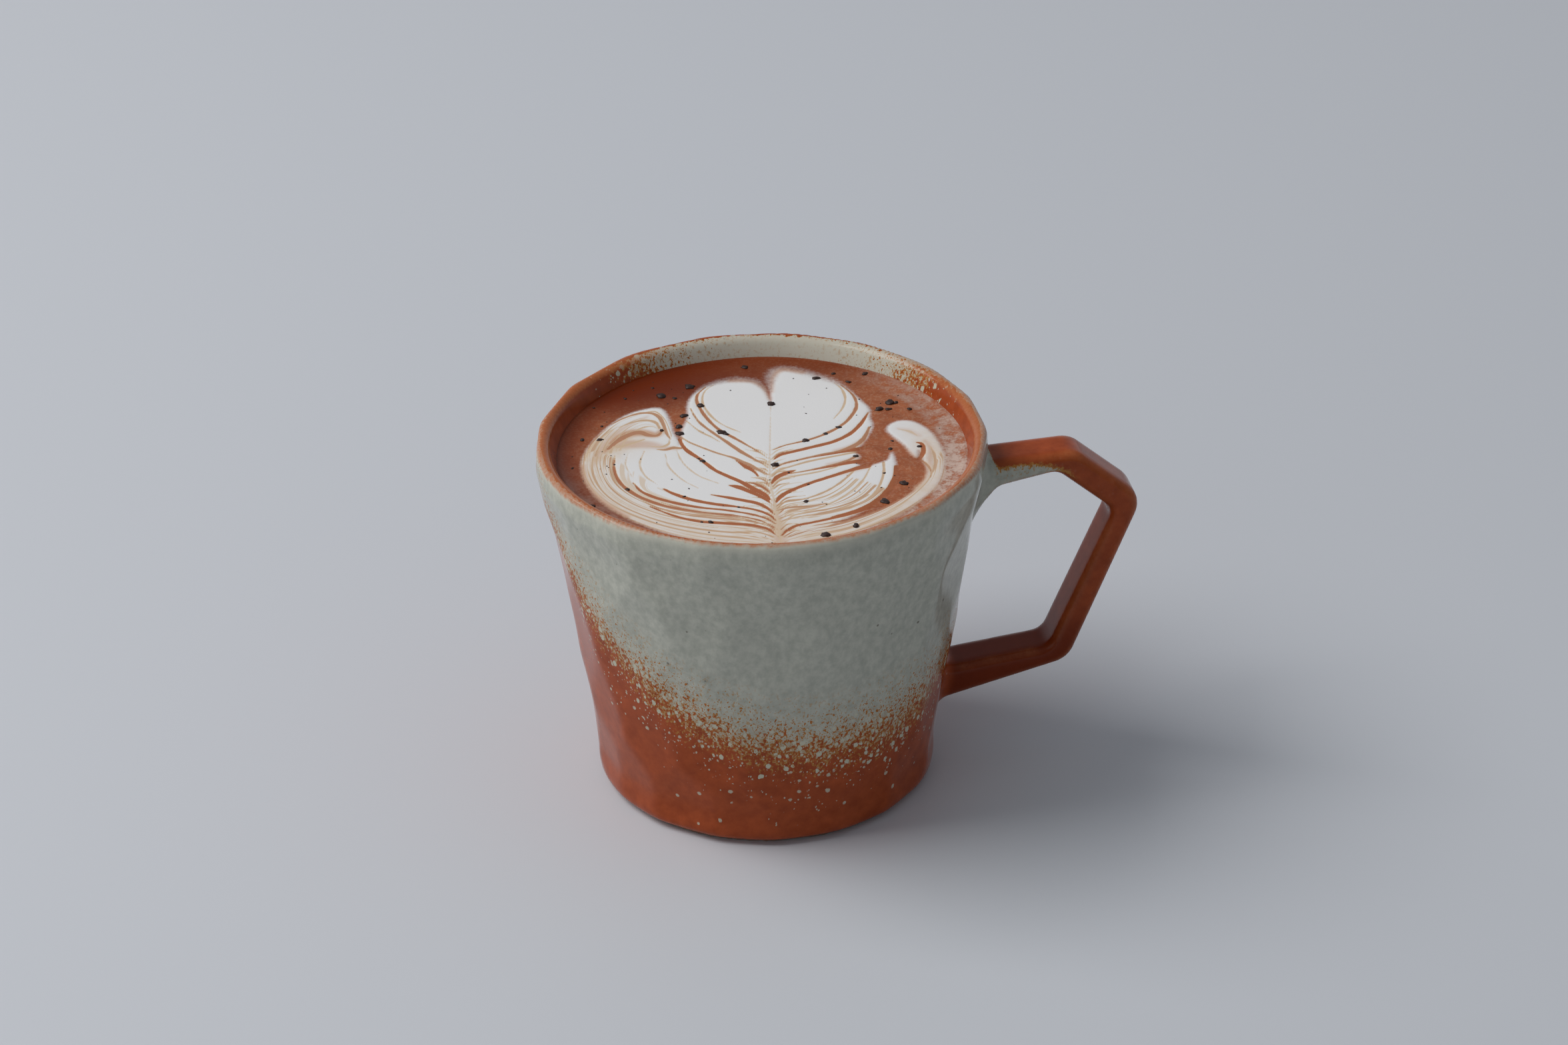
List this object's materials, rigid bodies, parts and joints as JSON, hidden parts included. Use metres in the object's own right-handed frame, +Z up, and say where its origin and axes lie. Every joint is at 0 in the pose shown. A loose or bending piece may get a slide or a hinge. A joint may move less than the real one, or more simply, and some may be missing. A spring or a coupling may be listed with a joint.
{
  "type": "caffe mocha in a mug",
  "caption": "Faceted stoneware mug with a hexagonal strap handle, filled near its lip with mocha whose foam carries leaf latte art.",
  "frame": {"origin": "centre of the foot ring, on the surface the mug stands on", "axes": "+Z up, +X from the mug's axis towards its handle, +Y completes the right-handed frame"},
  "size_m": [0.1213, 0.0902, 0.075],
  "materials": {
    "glazed_stoneware": "glossy grey-green glaze over the upper body, sprayed into an iron-red glaze towards the foot",
    "mocha": "satin milk foam over brown chocolate coffee"
  },
  "bodies": {
    "root": {"mug": "glazed_stoneware", "mocha": "mocha"}
  },
  "joints": []
}
